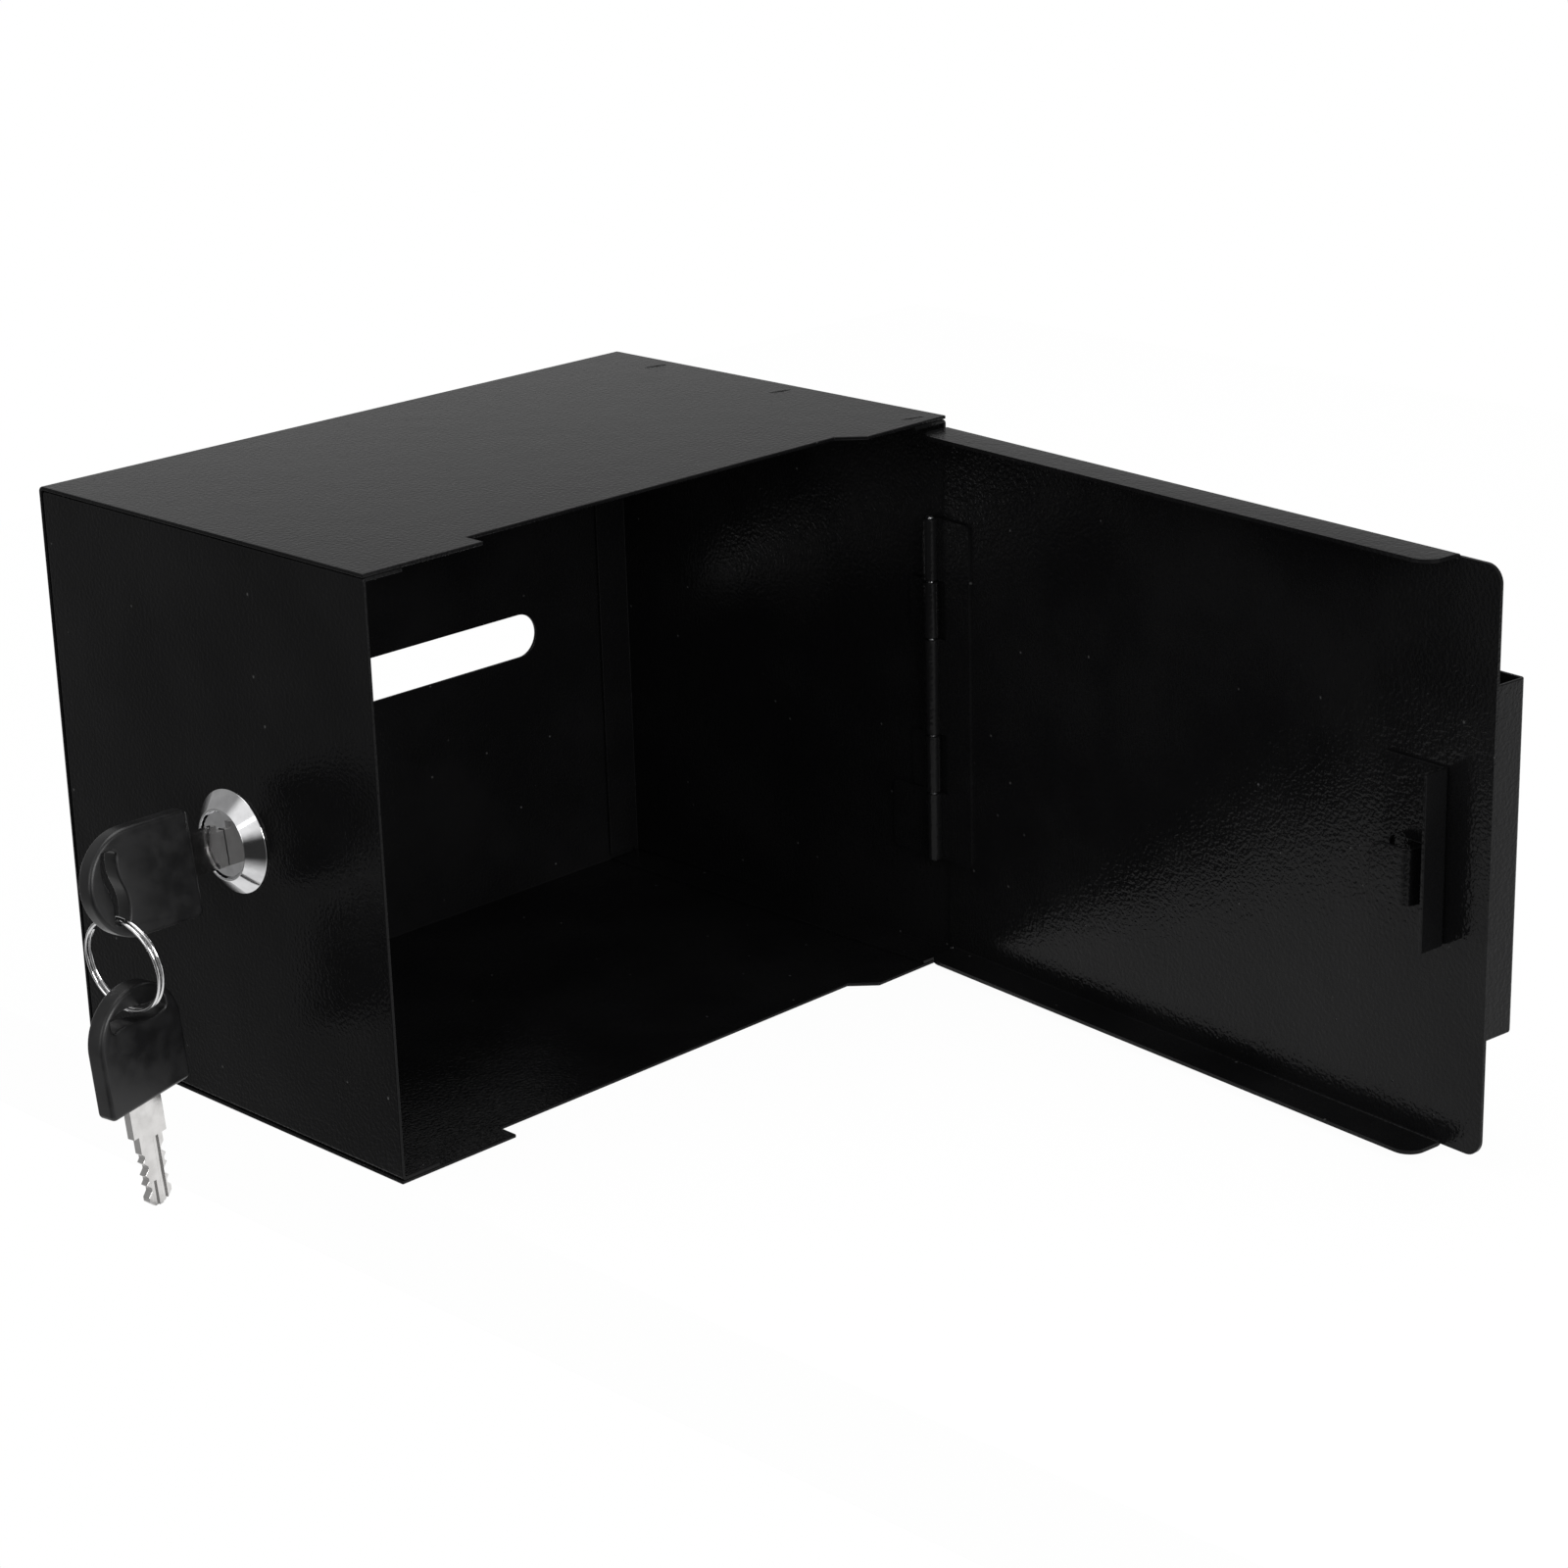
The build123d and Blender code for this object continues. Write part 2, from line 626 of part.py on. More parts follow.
def make_key_head():
    """Moulded grip with a round end, a ring slot and the cavity for the tang."""
    start = -shoulder_length - head_length
    low, high = -head_drop - head_width / 2, -head_drop + head_width / 2
    outline = make_face(
        Polyline((head_centre, low), (-shoulder_length, low), (-shoulder_length, high), (head_centre, high))
        + ThreePointArc((head_centre, high), (start, -head_drop), (head_centre, low)))
    square = [vertex for vertex in outline.vertices() if abs(vertex.X + shoulder_length) < close_enough]
    outline = fillet(square, head_corner)
    upright = Plane(origin=(0, head_thickness / 2, 0), x_dir=(1, 0, 0), z_dir=(0, -1, 0))
    head = extrude(upright * outline, head_thickness)
    head = fillet(head.faces().filter_by(Axis.Y).edges(), head_round)
    head -= extrude(upright * Pos(slot_x, -head_drop) * make_ring_slot(), head_thickness, both=True)
    mouth = []
    for edge in head.edges():
        middle = edge @ 0.5
        on_face = abs(abs(middle.Y) - head_thickness / 2) < close_enough
        across = abs(middle.X - slot_x) < ring_slot_width / 2 + ring_slot_wave + close_enough
        along = abs(middle.Z + head_drop) < ring_slot_length / 2 + close_enough
        if on_face and across and along:
            mouth.append(edge)
    head = fillet(mouth, ring_slot_round)
    head -= block(-shoulder_length - tang_length, -shoulder_length, -key_sheet / 2, key_sheet / 2,
                  -tang_width / 2, tang_width / 2)
    return head


key_place = core_place * Pos(plug_face - key_stop_gap, 0, 0)
web_middle = (key_place * Pos(slot_x + ring_shift, 0, (slot_low + web_edge) / 2)).position
ring_hang = (slot_low - web_edge) / 2 + ring_seat
ring_inner = ring_outer_radius - ring_wire
ring_mean = ring_outer_radius - ring_wire / 2
ring_turn = Rot(0, 0, ring_yaw) * Rot(0, -ring_tilt, 0)
ring_normal = (ring_turn * Pos(1, 0, 0)).position
ring_up = (ring_turn * Pos(0, 0, 1)).position
ring_centre = web_middle - ring_up * (ring_inner - ring_hang)
ring_plane = Plane(origin=ring_centre, x_dir=ring_up, z_dir=ring_normal)


def ring_point(angle, level):
    """A point of the wire's line in the ring's plane, from the top towards the door."""
    return Vector(ring_mean * cos(radians(angle)), ring_mean * sin(radians(angle)), level)


def ring_tangent(angle):
    """The wire's direction there."""
    return Vector(-sin(radians(angle)), cos(radians(angle)), 0)


def biarc(start, start_way, stop, stop_way):
    """Two arcs that leave one point and reach another along the given directions."""
    span, ways = stop - start, start_way + stop_way
    a, b, c = ways.dot(ways) - 4, -2 * span.dot(ways), span.dot(span)
    reach = (-b - sqrt(b * b - 4 * a * c)) / (2 * a)
    first, second = start + start_way * reach, stop - stop_way * reach
    middle = (first + second) * 0.5
    return TangentArc(start, middle, tangent=start_way), TangentArc(middle, stop, tangent=second - first)


def make_split_ring():
    """Two turns of one wire, with a climb from one level to the other."""
    low, high = -ring_pitch / 2, ring_pitch / 2
    turn = 360 - ring_climb
    lines = []
    for level in (low, high):
        for part in range(2):
            start = ring_end + part * turn / 2
            stop = start + turn / 2
            lines.append(ThreePointArc(ring_point(start, level), ring_point((start + stop) / 2, level),
                                       ring_point(stop, level)))
        if level == low:
            last = ring_end + turn
            lines += biarc(ring_point(last, low), ring_tangent(last), ring_point(last + ring_climb, high),
                           ring_tangent(last + ring_climb))
    path = Wire(lines)
    section = Plane(origin=path @ 0, z_dir=path % 0) * Circle(ring_wire / 2)
    print_ring_gap(path)
    return ring_plane.location * sweep(section, path=path)


def print_ring_gap(path):
    """Prints the least gap between the ring's two turns, measured on points of the wire's line."""
    count = 400
    points = [path @ (number / count) for number in range(count + 1)]
    apart = int(count * 60 / (2 * (360 - ring_climb) + ring_climb))
    least = min((points[i] - points[j]).length for i in range(count + 1) for j in range(i + apart, count + 1))
    print(f"split ring: wire {ring_wire} mm, least gap to itself {least - ring_wire:.3f} mm")


ring_bottom = ring_centre - ring_up * ring_mean
spare_hang = Vector(slot_x - ring_slot_width / 2 + spare_seat, 0, spare_along_slot - head_drop)
spare_place = (Pos(*ring_bottom) * Rot(0, 0, ring_yaw) * Rot(0, -spare_lean, 0) * Rot(0, 90, 0) * Rot(180, 0, 0)
               * Pos(*(spare_hang * -1)))

nodes = {
    "case_wrap": make_case_wrap(),
    "lock_side_panel": make_side_panel(-1, make_lock_hole()),
    "hinge_side_panel": make_side_panel(1),
    "hinge_body_leaf": make_body_leaf(),
    "hinge_pin": make_hinge_pin(),
    "hinge_door_leaf": opened(make_door_leaf()),
    "door_panel": opened(make_door_panel()),
    "card_pocket": opened(make_card_pocket()),
    "catch_bracket": opened(make_catch_bracket()),
    "lock_body": make_lock_body(),
    "lock_washer": make_lock_washer(),
    "lock_nut": make_lock_nut(),
    "lock_plug": make_lock_plug(),
    "plug_wafers": make_plug_wafers(),
    "wafer_springs": make_wafer_springs(),
    "lock_cam": make_lock_cam(),
    "cam_washer": make_cam_washer(),
    "cam_screw": make_cam_screw(),
    "key_blade": key_place * make_key_blade(),
    "key_head": key_place * make_key_head(),
    "split_ring": make_split_ring(),
    "spare_key_blade": spare_place * make_key_blade(),
    "spare_key_head": spare_place * make_key_head(),
}

os.makedirs("parts", exist_ok=True)
for name, shape in nodes.items():
    export_step(shape, f"parts/{name}.step")
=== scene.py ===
"""Looks of a folded-steel suggestion box with its door open and two keys on a split ring.

Metres, in the row frame: X from the lock to the hinge, Y from the door to the slotted wall, Z up.
"""
from __future__ import annotations

import json
import logging
from abc import ABC, abstractmethod
from collections.abc import Callable
from dataclasses import dataclass, field
from enum import Enum
from math import pi, radians
from typing import Any, Union

import bmesh
import bpy
from mathutils import Matrix, Vector


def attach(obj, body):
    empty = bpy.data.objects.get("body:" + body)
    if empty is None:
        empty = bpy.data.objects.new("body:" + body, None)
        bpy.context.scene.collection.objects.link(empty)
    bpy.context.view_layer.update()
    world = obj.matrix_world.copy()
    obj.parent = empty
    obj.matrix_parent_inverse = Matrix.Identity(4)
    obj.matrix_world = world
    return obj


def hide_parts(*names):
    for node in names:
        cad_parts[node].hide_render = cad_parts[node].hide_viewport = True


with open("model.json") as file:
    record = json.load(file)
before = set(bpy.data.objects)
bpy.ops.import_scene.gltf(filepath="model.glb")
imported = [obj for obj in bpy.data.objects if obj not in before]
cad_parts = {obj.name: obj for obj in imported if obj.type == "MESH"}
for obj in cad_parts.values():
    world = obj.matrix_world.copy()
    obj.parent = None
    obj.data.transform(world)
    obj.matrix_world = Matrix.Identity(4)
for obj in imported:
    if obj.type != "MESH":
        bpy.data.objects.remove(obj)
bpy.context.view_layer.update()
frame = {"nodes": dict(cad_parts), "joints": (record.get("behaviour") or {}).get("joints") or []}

log = logging.getLogger("suggestion_box")
MM = 0.001
FULL_TURN = 2 * pi
SHARED_NODES = {"Math", "MapRange", "CombineXYZ", "SeparateXYZ", "VectorMath"}
Span = tuple[float, float]
Triple = tuple[float, float, float]


class Slot(Enum):
    """The record's material slots."""

    BLACK_PAINT = "black_paint"
    LOCK_CHROME = "lock_chrome"
    ZINC_STEEL = "zinc_steel"
    WAFER_BRASS = "wafer_brass"
    KEY_NICKEL = "key_nickel"
    KEY_PLASTIC = "key_plastic"
    RING_NICKEL = "ring_nickel"


class Body(Enum):
    """The moving bodies that pieces ride on."""

    CASE = "case"
    DOOR = "door"
    CORE = "lock_core"
    KEY = "key"
    RING = "ring"
    SPARE = "spare_key"


class Hinge(Enum):
    """The joints that place a piece."""

    LOCK_TURN = "lock_turn"
    RING_SWING = "ring_swing"
    SPARE_SWING = "spare_swing"

    def joint(self) -> dict[str, Any]:
        """The joint as the frame gives it."""
        return next(joint for joint in frame["joints"] if joint["name"] == self.value)

    @property
    def at(self) -> Vector:
        """A point on the joint's axis."""
        return Vector(self.joint()["pos_m"])

    @property
    def axis(self) -> Vector:
        """The direction of the joint's axis."""
        return Vector(self.joint()["axis"]).normalized()


class Value:
    """A socket that can be used in sums; every sum adds its Math nodes."""

    def __init__(self, graph: "Graph", socket: bpy.types.NodeSocket) -> None:
        """Wraps an output socket.

        Args:
            graph: the graph that holds the socket.
            socket: the output socket.
        """
        self.graph = graph
        self.socket = socket

    def maths(self, operation: str, other: "Number" = 0, swapped: bool = False) -> "Value":
        """Adds a Math node on this value and another.

        Args:
            operation: the Math node's operation.
            other: the second operand.
            swapped: True where the other operand comes first.

        Returns:
            The result.
        """
        pair = (other, self) if swapped else (self, other)
        return self.graph.out("Math", {"operation": operation}, {0: pair[0], 1: pair[1]})

    def __add__(self, other: "Number") -> "Value":
        """Sum."""
        return self.maths("ADD", other)

    def __radd__(self, other: "Number") -> "Value":
        """Sum, reflected."""
        return self.maths("ADD", other, True)

    def __sub__(self, other: "Number") -> "Value":
        """Difference."""
        return self.maths("SUBTRACT", other)

    def __rsub__(self, other: "Number") -> "Value":
        """Difference, reflected."""
        return self.maths("SUBTRACT", other, True)

    def __mul__(self, other: "Number") -> "Value":
        """Product."""
        return self.maths("MULTIPLY", other)

    def __truediv__(self, other: "Number") -> "Value":
        """Quotient."""
        return self.maths("DIVIDE", other)

    def sine(self) -> "Value":
        """The sine of an angle in radians."""
        return self.maths("SINE")

    def cosine(self) -> "Value":
        """The cosine of an angle in radians."""
        return self.maths("COSINE")

    def least(self, other: "Number") -> "Value":
        """The smaller of two."""
        return self.maths("MINIMUM", other)

    def most(self, other: "Number") -> "Value":
        """The larger of two."""
        return self.maths("MAXIMUM", other)

    def eased(self, low: float, high: float, to_low: float = 0.0, to_high: float = 1.0) -> "Value":
        """Maps a range smoothly onto another.

        Args:
            low: where the change starts.
            high: where it ends.
            to_low: the result at the start.
            to_high: the result at the end.

        Returns:
            The mapped value.
        """
        ends = {"Value": self, "From Min": low, "From Max": high, "To Min": to_low, "To Max": to_high}
        return self.graph.out("MapRange", {"interpolation_type": "SMOOTHSTEP"}, ends)


Number = Union[float, int, Value]


@dataclass
class Graph:
    """A node tree and the one way in which its nodes are made."""

    tree: bpy.types.NodeTree
    kind: str

    def node(self, name: str, settings: dict[str, Any] | None = None,
             inputs: dict[str | int, Any] | None = None, family: str = "") -> bpy.types.Node:
        """Makes a node.

        Args:
            name: the node's type without its family.
            settings: properties, set before the sockets.
            inputs: values, or links as Value or socket, by socket name or number.
            family: the type's family where it isn't the graph's own.

        Returns:
            The node.
        """
        family = family or ("ShaderNode" if name in SHARED_NODES else self.kind)
        made = self.tree.nodes.new(family + name)
        for key, value in (settings or {}).items():
            setattr(made, key, value)
        for key, value in (inputs or {}).items():
            socket = made.inputs[key]
            if isinstance(value, Value):
                self.tree.links.new(value.socket, socket)
            elif isinstance(value, bpy.types.NodeSocket):
                self.tree.links.new(value, socket)
            else:
                socket.default_value = value
        return made

    def out(self, name: str, settings: dict[str, Any] | None = None,
            inputs: dict[str | int, Any] | None = None, output: str | int = 0) -> Value:
        """Makes a node and wraps one of its outputs.

        Args:
            name: the node's type without its family.
            settings: properties, set before the sockets.
            inputs: values or links by socket name or number.
            output: the output's name or number.

        Returns:
            The output.
        """
        return Value(self, self.node(name, settings, inputs).outputs[output])

    def point(self, x: Number, y: Number, z: Number) -> Value:
        """A vector from three numbers."""
        return self.out("CombineXYZ", {}, {"X": x, "Y": y, "Z": z})

    def bump(self, height: Value, depth: float, strength: float) -> Value:
        """A bump from a height pattern.

        Args:
            height: the pattern, 0 to 1.
            depth: the height of the pattern in metres.
            strength: the share of the bump that shows.

        Returns:
            The normal.
        """
        return self.out("Bump", {}, {"Height": height, "Distance": depth, "Strength": strength})

    def mix(self, factor: Value, low: Triple, high: Triple) -> Value:
        """A colour between two.

        Args:
            factor: 0 for the first, 1 for the second.
            low: the first colour.
            high: the second colour.

        Returns:
            The colour.
        """
        node = self.node("Mix", {"data_type": "RGBA"})
        self.tree.links.new(factor.socket, node.inputs["Factor"])
        colours = [socket for socket in node.inputs if socket.type == "RGBA"]
        colours[0].default_value = (*low, 1.0)
        colours[1].default_value = (*high, 1.0)
        return Value(self, next(socket for socket in node.outputs if socket.type == "RGBA"))


def grey(level: float) -> tuple[float, float, float, float]:
    """A neutral colour with full alpha."""
    return (level, level, level, 1.0)


def shader_graph(owner: bpy.types.Material | bpy.types.World) -> Graph:
    """Empties a material's or a world's nodes.

    Args:
        owner: the material or the world.

    Returns:
        Its graph.
    """
    owner.use_nodes = True
    owner.node_tree.nodes.clear()
    return Graph(owner.node_tree, "ShaderNode")


@dataclass(frozen=True)
class Pattern:
    """A noise pattern: the size of one feature in metres, its octaves and the finer ones' share."""

    size: float
    detail: float
    fineness: float = 0.5

    def on(self, graph: Graph, place: Value) -> Value:
        """Makes the pattern.

        Args:
            graph: the material's nodes.
            place: Object coordinates.

        Returns:
            Values around 0.5.
        """
        inputs = {"Vector": place, "Scale": 1 / self.size, "Detail": self.detail, "Roughness": self.fineness}
        return graph.out("TexNoise", {"noise_dimensions": "3D"}, inputs, "Fac")


@dataclass(frozen=True)
class Finish(ABC):
    """A procedural material read in Object coordinates."""

    name: str
    slot: Slot

    def build(self) -> bpy.types.Material:
        """Makes the material.

        Returns:
            The material.
        """
        material = bpy.data.materials.new(self.name)
        graph = shader_graph(material)
        shader = self.dress(graph, graph.out("TexCoord", output="Object"))
        graph.node("OutputMaterial", inputs={"Surface": shader.outputs[0]})
        return material

    @abstractmethod
    def dress(self, graph: Graph, place: Value) -> bpy.types.Node:
        """Makes the surface shader.

        Args:
            graph: the material's nodes.
            place: Object coordinates.

        Returns:
            The shader node.
        """


@dataclass(frozen=True)
class PowderCoat(Finish):
    """Black powder coat with a fine orange peel and a few nibs of dust under it, each nib lightened in colour
    as a painted highlight.
    """

    dark: Triple = (0.0034, 0.0034, 0.0036)
    # the lighter colour: the cloud's random tone mixes in a little of it, and the nibs take it as a painted
    # highlight
    light_tone_and_nib_highlight: Triple = (0.10, 0.10, 0.10)
    cloud: Pattern = Pattern(38 * MM, 3.0)
    cloud_tint: Span = (0.0, 0.023)
    peel: Pattern = Pattern(1.0 * MM, 1.5)
    peel_depth: float = 0.14 * MM
    peel_show: float = 0.9
    ripple: Pattern = Pattern(9 * MM, 1.0)
    ripple_share: float = 0.5
    nib_gap: float = 9 * MM
    nib_reach: Span = (0.055, 0.01)
    nib_rise: float = 2.0
    # how far a nib's colour goes towards the lighter colour, as a painted highlight
    nib_highlight_share: float = 0.5
    middle: Span = (0.3, 0.7)
    cloud_reach: Span = (0.25, 0.75)
    gloss: Span = (0.10, 0.14)
    peel_gloss: Span = (-0.01, 0.02)
    specular: float = 0.10

    def dress(self, graph: Graph, place: Value) -> bpy.types.Node:
        """Peel, slow ripple, nibs with a painted highlight in their colour, and small changes of gloss.

        Args:
            graph: the material's nodes.
            place: Object coordinates.

        Returns:
            The shader node.
        """
        cloud = self.cloud.on(graph, place)
        grain = self.peel.on(graph, place)
        wave = self.ripple.on(graph, place)
        spots = graph.out("TexVoronoi", {}, {"Vector": place, "Scale": 1 / self.nib_gap})
        nibs = spots.eased(*self.nib_reach)
        height = grain + wave * self.ripple_share + nibs * self.nib_rise
        # a random tone from the cloud, plus a painted highlight on each nib
        tone_and_highlight = cloud.eased(*self.middle, *self.cloud_tint) + nibs * self.nib_highlight_share
        rough = cloud.eased(*self.cloud_reach, *self.gloss) + grain.eased(*self.middle, *self.peel_gloss)
        return graph.node("BsdfPrincipled", {}, {
            "Base Color": graph.mix(tone_and_highlight, self.dark, self.light_tone_and_nib_highlight),
            "Roughness": rough, "Specular IOR Level": self.specular,
            "Normal": graph.bump(height, self.peel_depth, self.peel_show)})


@dataclass(frozen=True)
class PlatedMetal(Finish):
    """Bright plated metal with faint polishing marks."""

    colour: Triple = (0.80, 0.80, 0.81)
    shade: Triple = (0.66, 0.66, 0.67)
    gloss: Span = (0.04, 0.08)
    stretch: Triple = (1.0, 1.0, 1.0)
    marks: Pattern = Pattern(0.35 * MM, 3.0, 0.6)
    mark_reach: Span = (0.4, 0.7)
    mark_gloss: Span = (0.0, 0.04)
    mark_depth: float = 0.004 * MM
    mark_show: float = 0.6
    cloud: Pattern = Pattern(4 * MM, 3.0)
    shade_reach: Span = (0.3, 0.75)
    haze_reach: Span = (0.3, 0.7)

    def dress(self, graph: Graph, place: Value) -> bpy.types.Node:
        """Haze, marks along one direction and small colour changes.

        Args:
            graph: the material's nodes.
            place: Object coordinates.

        Returns:
            The shader node.
        """
        marks = self.marks.on(graph, graph.out("Mapping", {}, {"Vector": place, "Scale": self.stretch}))
        cloud = self.cloud.on(graph, place)
        rough = cloud.eased(*self.haze_reach, *self.gloss) + marks.eased(*self.mark_reach, *self.mark_gloss)
        return graph.node("BsdfPrincipled", {}, {
            "Base Color": graph.mix(cloud.eased(*self.shade_reach), self.colour, self.shade),
            "Metallic": 1.0, "Roughness": rough,
            "Normal": graph.bump(marks, self.mark_depth, self.mark_show)})


@dataclass(frozen=True)
class MouldedPlastic(Finish):
    """Black moulded plastic with a satin skin."""

    dark: Triple = (0.0055, 0.0055, 0.0058)
    light: Triple = (0.0090, 0.0090, 0.0094)
    grain: Pattern = Pattern(0.22 * MM, 3.0, 0.6)
    grain_depth: float = 0.012 * MM
    grain_show: float = 0.7
    patches: Pattern = Pattern(6 * MM, 2.0)
    patch_reach: Span = (0.3, 0.7)
    gloss: Span = (0.30, 0.42)
    specular: float = 0.42

    def dress(self, graph: Graph, place: Value) -> bpy.types.Node:
        """A fine spark-eroded grain with slightly polished patches.

        Args:
            graph: the material's nodes.
            place: Object coordinates.

        Returns:
            The shader node.
        """
        grain = self.grain.on(graph, place)
        patches = self.patches.on(graph, place)
        return graph.node("BsdfPrincipled", {}, {
            "Base Color": graph.mix(patches.eased(*self.patch_reach), self.dark, self.light),
            "Roughness": patches.eased(*self.patch_reach, *self.gloss), "Specular IOR Level": self.specular,
            "Normal": graph.bump(grain, self.grain_depth, self.grain_show)})


@dataclass
class Workshop:
    """Finishes by slot, and the ways in which a finished piece is set into the model."""

    materials: dict[Slot, bpy.types.Material] = field(default_factory=dict)
    merge_within: float = 0.002 * MM
    flat_within: float = 0.6
    sharp_from: float = 33.0
    round_steps: int = 2

    def stock(self, *finishes: Finish) -> None:
        """Makes the materials.

        Args:
            finishes: one for each slot.
        """
        for finish in finishes:
            self.materials[finish.slot] = finish.build()

    def coat_node(self, node: str, slot: Slot) -> None:
        """Gives a CAD node its finish.

        Args:
            node: the node's name.
            slot: its material slot.
        """
        mesh = frame["nodes"][node].data
        mesh.materials.clear()
        mesh.materials.append(self.materials[slot])

    def new_piece(self, name: str, mesh: bpy.types.Mesh) -> bpy.types.Object:
        """Puts a mesh into the scene.

        Args:
            name: the piece's name.
            mesh: its mesh, in the row frame.

        Returns:
            The object, at the origin.
        """
        mesh.name = name
        piece = bpy.data.objects.new(name, mesh)
        bpy.context.scene.collection.objects.link(piece)
        return piece

    def settle(self, piece: bpy.types.Object, body: Body, slot: Slot, *nodes: str) -> None:
        """Sets a finished piece on its body.

        Args:
            piece: the object.
            body: what it rides on.
            slot: its material slot.
            nodes: CAD nodes that it stands for.
        """
        piece.data.materials.clear()
        piece.data.materials.append(self.materials[slot])
        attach(piece, body.value)
        if nodes:
            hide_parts(*nodes)
        log.info("%s rides on %s, %d faces", piece.name, body.value, len(piece.data.polygons))

    def flattened(self, piece: bpy.types.Object) -> None:
        """Turns a piece with modifiers into a plain mesh.

        Args:
            piece: the object.
        """
        bpy.context.view_layer.update()
        evaluated = piece.evaluated_get(bpy.context.evaluated_depsgraph_get())
        mesh = bpy.data.meshes.new_from_object(evaluated)
        piece.modifiers.clear()
        old = piece.data
        piece.data = mesh
        mesh.name = piece.name
        bpy.data.meshes.remove(old)

    def soften(self, node: str, edge: float, body: Body, slot: Slot) -> None:
        """Shows a CAD node as a copy whose sharp edges are broken by a small round.

        Args:
            node: the CAD node.
            edge: the round's width in metres.
            body: what the piece rides on.
            slot: its material slot.
        """
        work = bmesh.new()
        work.from_mesh(frame["nodes"][node].data)
        bmesh.ops.remove_doubles(work, verts=work.verts, dist=self.merge_within)
        flat = radians(self.flat_within)
        bmesh.ops.dissolve_limit(work, angle_limit=flat, verts=work.verts, edges=work.edges)
        mesh = bpy.data.meshes.new(node + "_shown")
        work.to_mesh(mesh)
        work.free()
        if "custom_normal" in mesh.attributes:
            mesh.attributes.remove(mesh.attributes["custom_normal"])
        mesh.shade_smooth()
        mesh.set_sharp_from_angle(angle=radians(self.sharp_from))
        piece = self.new_piece(node + "_shown", mesh)
        bevel = piece.modifiers.new("edge round", "BEVEL")
        bevel.width = edge
        bevel.segments = self.round_steps
        bevel.limit_method = "ANGLE"
        bevel.angle_limit = radians(self.sharp_from)
        bevel.harden_normals = True
        bevel.use_clamp_overlap = True
        self.flattened(piece)
        self.settle(piece, body, slot, node)

    def grown(self, name: str, tree: bpy.types.NodeTree, sizes: dict[str, float],
              place: Matrix) -> bpy.types.Object:
        """A piece made by a geometry tree.

        Args:
            name: the piece's name.
            tree: the tree, with named inputs.
            sizes: the values of its inputs.
            place: where the piece stands.

        Returns:
            The piece as a plain mesh, its place in the mesh.
        """
        piece = self.new_piece(name, bpy.data.meshes.new(name))
        modifier = piece.modifiers.new(name, "NODES")
        modifier.node_group = tree
        for item in tree.interface.items_tree:
            if item.in_out == "INPUT" and item.name in sizes:
                modifier[item.identifier] = sizes[item.name]
        self.flattened(piece)
        piece.data.transform(place)
        return piece


def geometry_tree(name: str, sizes: tuple[str, ...], count: str) -> tuple[Graph, list[Value]]:
    """An empty geometry tree with named inputs.

    Args:
        name: the tree's name.
        sizes: the names of its inputs that are sizes or angles.
        count: the name of its last input, a whole number.

    Returns:
        The graph and its inputs, in that order.
    """
    tree = bpy.data.node_groups.new(name, "GeometryNodeTree")
    tree.interface.new_socket(name="Geometry", in_out="OUTPUT", socket_type="NodeSocketGeometry")
    for label in sizes:
        tree.interface.new_socket(name=label, in_out="INPUT", socket_type="NodeSocketFloat")
    tree.interface.new_socket(name=count, in_out="INPUT", socket_type="NodeSocketInt")
    graph = Graph(tree, "GeometryNode")
    given = graph.node("GroupInput", family="Node")
    return graph, [Value(graph, given.outputs[label]) for label in (*sizes, count)]


def close_tree(graph: Graph, geometry: Value, material: bpy.types.Material) -> bpy.types.NodeTree:
    """Ends a tree with Realize Instances and Set Material.

    Args:
        graph: the tree's graph.
        geometry: what it made.
        material: the finish.

    Returns:
        The tree.
    """
    real = graph.out("RealizeInstances", {}, {"Geometry": geometry})
    smooth = graph.out("SetShadeSmooth", {}, {"Geometry": real})
    dressed = graph.out("SetMaterial", {}, {"Geometry": smooth, "Material": material})
    graph.node("GroupOutput", inputs={"Geometry": dressed}, family="Node")
    return graph.tree


def wound(graph: Graph, count: Value, along: Callable[[Value], tuple[Value, Value, Value]],
          wire: Value, sides: int) -> Value:
    """A round wire along a line whose points follow a rule.

    Args:
        graph: the tree's graph.
        count: the number of points.
        along: from the share of the way, 0 to 1, to the point's X, Y and Z.
        wire: the wire's radius.
        sides: the sides of its section.

    Returns:
        The wire, closed at its ends.
    """
    ring = {"Resolution": sides, "Radius": wire}
    section = graph.out("CurvePrimitiveCircle", {"mode": "RADIUS"}, ring, "Curve")
    line = graph.out("MeshLine", {"mode": "OFFSET"}, {"Count": count})
    share = graph.out("InputIndex") / (count - 1)
    placed = graph.out("SetPosition", {}, {"Geometry": line, "Position": graph.point(*along(share))})
    curve = graph.out("MeshToCurve", {}, {"Mesh": placed})
    return graph.out("CurveToMesh", {}, {"Curve": curve, "Profile Curve": section, "Fill Caps": True})


def in_a_row(graph: Graph, item: Value, count: Value, step: Value, first: Value | Triple) -> Value:
    """Copies of an item at even steps.

    Args:
        graph: the tree's graph.
        item: the geometry that repeats.
        count: how many.
        step: from one to the next.
        first: where the first stands.

    Returns:
        The instances.
    """
    row = graph.out("MeshLine", {"mode": "OFFSET"}, {"Count": count, "Start Location": first, "Offset": step})
    return graph.out("InstanceOnPoints", {}, {"Points": row, "Instance": item})


